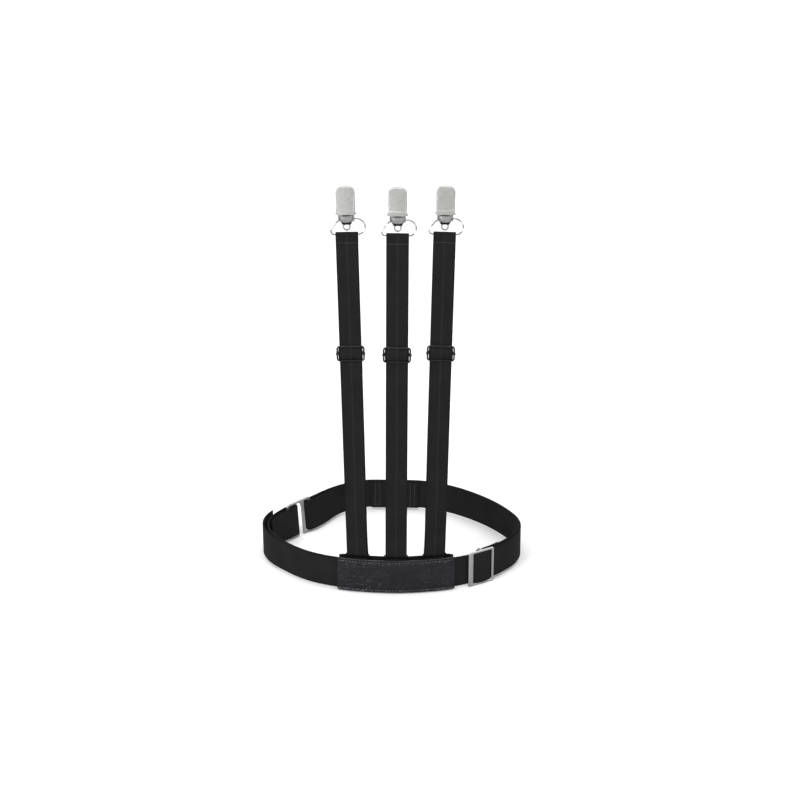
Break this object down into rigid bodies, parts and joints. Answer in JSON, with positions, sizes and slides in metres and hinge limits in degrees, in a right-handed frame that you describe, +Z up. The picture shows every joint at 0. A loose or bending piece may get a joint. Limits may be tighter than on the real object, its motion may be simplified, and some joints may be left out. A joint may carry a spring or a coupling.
{
  "type": "shirt stay",
  "caption": "Adjustable thigh belt with a leather front patch, a hook closure and upright elastic straps that end in hinged metal garment clips.",
  "frame": {"origin": "middle of the bounding box, on the surface that the belt stands on", "axes": "+Z up along the straps, -Y towards the leather patch at the front, +X to the right seen from the front"},
  "size_m": [0.255, 0.2104, 0.3876],
  "materials": {
    "webbing": "black woven webbing",
    "belt_front_webbing": "grey-black woven webbing",
    "backing_webbing": "black tape",
    "strap_elastic": "black ribbed elastic",
    "leather": "glossy grained leather",
    "satin_silver": "satin",
    "bright_nickel": "bright nickel plate",
    "pebbled_nickel": "pebbled nickel plate",
    "bail_wire": "nickel plated wire",
    "black_wire": "black enamel",
    "teeth": "moulded nylon"
  },
  "bodies": {
    "belt": {"belt_webbing": "webbing", "hook_loop_webbing": "belt_front_webbing", "leather_patch": "leather", "patch_backing": "backing_webbing", "back_panel": "webbing", "strap_left_anchor_ring": "black_wire", "strap_left_anchor_tab": "backing_webbing", "strap_middle_anchor_ring": "black_wire", "strap_middle_anchor_tab": "backing_webbing", "strap_right_anchor_ring": "black_wire", "strap_right_anchor_tab": "backing_webbing"},
    "hook": {"closure_hook": "satin_silver"},
    "belt_adjuster": {"belt_adjuster_frame": "satin_silver", "belt_adjuster_bar": "satin_silver", "belt_adjuster_arch": "webbing", "belt_adjuster_end": "webbing"},
    "strap_left": {"strap_left_webbing": "strap_elastic"},
    "slider_left": {"strap_left_slider": "black_wire", "strap_left_slider_arch": "strap_elastic", "strap_left_slider_end": "strap_elastic"},
    "bail_left": {"clip_left_bail": "bail_wire"},
    "clip_left": {"clip_left_body": "bright_nickel", "clip_left_pin": "bail_wire", "clip_left_body_teeth": "teeth"},
    "lever_left": {"clip_left_lever": "pebbled_nickel"},
    "jaw_left": {"clip_left_jaw": "bright_nickel", "clip_left_jaw_teeth": "teeth"},
    "strap_middle": {"strap_middle_webbing": "strap_elastic"},
    "slider_middle": {"strap_middle_slider": "black_wire", "strap_middle_slider_arch": "strap_elastic", "strap_middle_slider_end": "strap_elastic"},
    "bail_middle": {"clip_middle_bail": "bail_wire"},
    "clip_middle": {"clip_middle_body": "bright_nickel", "clip_middle_pin": "bail_wire", "clip_middle_body_teeth": "teeth"},
    "lever_middle": {"clip_middle_lever": "pebbled_nickel"},
    "jaw_middle": {"clip_middle_jaw": "bright_nickel", "clip_middle_jaw_teeth": "teeth"},
    "strap_right": {"strap_right_webbing": "strap_elastic"},
    "slider_right": {"strap_right_slider": "black_wire", "strap_right_slider_arch": "strap_elastic", "strap_right_slider_end": "strap_elastic"},
    "bail_right": {"clip_right_bail": "bail_wire"},
    "clip_right": {"clip_right_body": "bright_nickel", "clip_right_pin": "bail_wire", "clip_right_body_teeth": "teeth"},
    "lever_right": {"clip_right_lever": "pebbled_nickel"},
    "jaw_right": {"clip_right_jaw": "bright_nickel", "clip_right_jaw_teeth": "teeth"}
  },
  "joints": [
    {"name": "hook_turn", "type": "hinge", "parent": "belt", "child": "hook", "pos_m": [-0.0859, 0.04586, 0.0175], "axis": [-0.096, 0.192, 0.9767], "range_deg": [-2.2, 2.2]},
    {"name": "belt_adjuster_slide", "type": "hinge", "parent": "belt", "child": "belt_adjuster", "pos_m": [0.0162, 0.01849, 0.0175], "axis": [0, 0, 1], "range_deg": [-5, 8]},
    {"name": "strap_left_fold", "type": "hinge", "parent": "belt", "child": "strap_left", "pos_m": [-0.02831, -0.09636, 0.0373], "axis": [0.9867, -0.1609, 0.0236], "range_deg": [-9, 85]},
    {"name": "slider_left_slide", "type": "slide", "parent": "strap_left", "child": "slider_left", "axis": [-0.0233, 0.0038, 0.9997], "range_m": [0, 0.06]},
    {"name": "bail_left_swing", "type": "hinge", "parent": "strap_left", "child": "bail_left", "pos_m": [-0.03544, -0.0952, 0.34371], "axis": [0.9997, 0, 0.0233], "range_deg": [-60, 60]},
    {"name": "clip_left_tilt", "type": "hinge", "parent": "bail_left", "child": "clip_left", "pos_m": [-0.03574, -0.09515, 0.35671], "axis": [0.9997, 0, 0.0233], "range_deg": [-45, 45]},
    {"name": "lever_left_open", "type": "hinge", "parent": "clip_left", "child": "lever_left", "pos_m": [-0.03589, -0.09912, 0.36333], "axis": [0.9997, 0, 0.0233], "range_deg": [0, 95]},
    {"name": "jaw_left_open", "type": "hinge", "parent": "clip_left", "child": "jaw_left", "pos_m": [-0.03565, -0.09446, 0.35311], "axis": [0.9997, 0, 0.0233], "range_deg": [0, 4.5]},
    {"name": "strap_middle_fold", "type": "hinge", "parent": "belt", "child": "strap_middle", "pos_m": [0.00792, -0.09901, 0.0373], "axis": [0.9997, 0.0226, -0.0052], "range_deg": [-9, 85]},
    {"name": "slider_middle_slide", "type": "slide", "parent": "strap_middle", "child": "slider_middle", "axis": [0.0052, 0.0001, 1], "range_m": [0, 0.06]},
    {"name": "bail_middle_swing", "type": "hinge", "parent": "strap_middle", "child": "bail_middle", "pos_m": [0.00953, -0.09897, 0.3438], "axis": [1, 0, -0.0052], "range_deg": [-60, 60]},
    {"name": "clip_middle_tilt", "type": "hinge", "parent": "bail_middle", "child": "clip_middle", "pos_m": [0.00959, -0.09897, 0.3568], "axis": [1, 0, -0.0052], "range_deg": [-45, 45]},
    {"name": "lever_middle_open", "type": "hinge", "parent": "clip_middle", "child": "lever_middle", "pos_m": [0.00963, -0.10297, 0.3634], "axis": [1, 0, -0.0052], "range_deg": [0, 95]},
    {"name": "jaw_middle_open", "type": "hinge", "parent": "clip_middle", "child": "jaw_middle", "pos_m": [0.00958, -0.09827, 0.3532], "axis": [1, 0, -0.0052], "range_deg": [0, 4.5]},
    {"name": "strap_right_fold", "type": "hinge", "parent": "belt", "child": "strap_right", "pos_m": [0.04371, -0.09349, 0.0373], "axis": [0.9721, 0.2335, -0.0236], "range_deg": [-9, 85]},
    {"name": "slider_right_slide", "type": "slide", "parent": "strap_right", "child": "slider_right", "axis": [0.0229, 0.0055, 0.9997], "range_m": [0, 0.06]},
    {"name": "bail_right_swing", "type": "hinge", "parent": "strap_right", "child": "bail_right", "pos_m": [0.05074, -0.09181, 0.34371], "axis": [0.9997, -0.0001, -0.0229], "range_deg": [-60, 60]},
    {"name": "clip_right_tilt", "type": "hinge", "parent": "bail_right", "child": "clip_right", "pos_m": [0.05103, -0.09173, 0.35671], "axis": [0.9997, -0.0001, -0.0229], "range_deg": [-45, 45]},
    {"name": "lever_right_open", "type": "hinge", "parent": "clip_right", "child": "lever_right", "pos_m": [0.05119, -0.0957, 0.36333], "axis": [0.9997, -0.0001, -0.0229], "range_deg": [0, 95]},
    {"name": "jaw_right_open", "type": "hinge", "parent": "clip_right", "child": "jaw_right", "pos_m": [0.05095, -0.09105, 0.35311], "axis": [0.9997, -0.0001, -0.0229], "range_deg": [0, 4.5]}
  ],
  "couplings": [
    {"joint": "jaw_left_open", "follows": "lever_left_open", "ratio": 0.047},
    {"joint": "jaw_middle_open", "follows": "lever_middle_open", "ratio": 0.047},
    {"joint": "jaw_right_open", "follows": "lever_right_open", "ratio": 0.047}
  ]
}
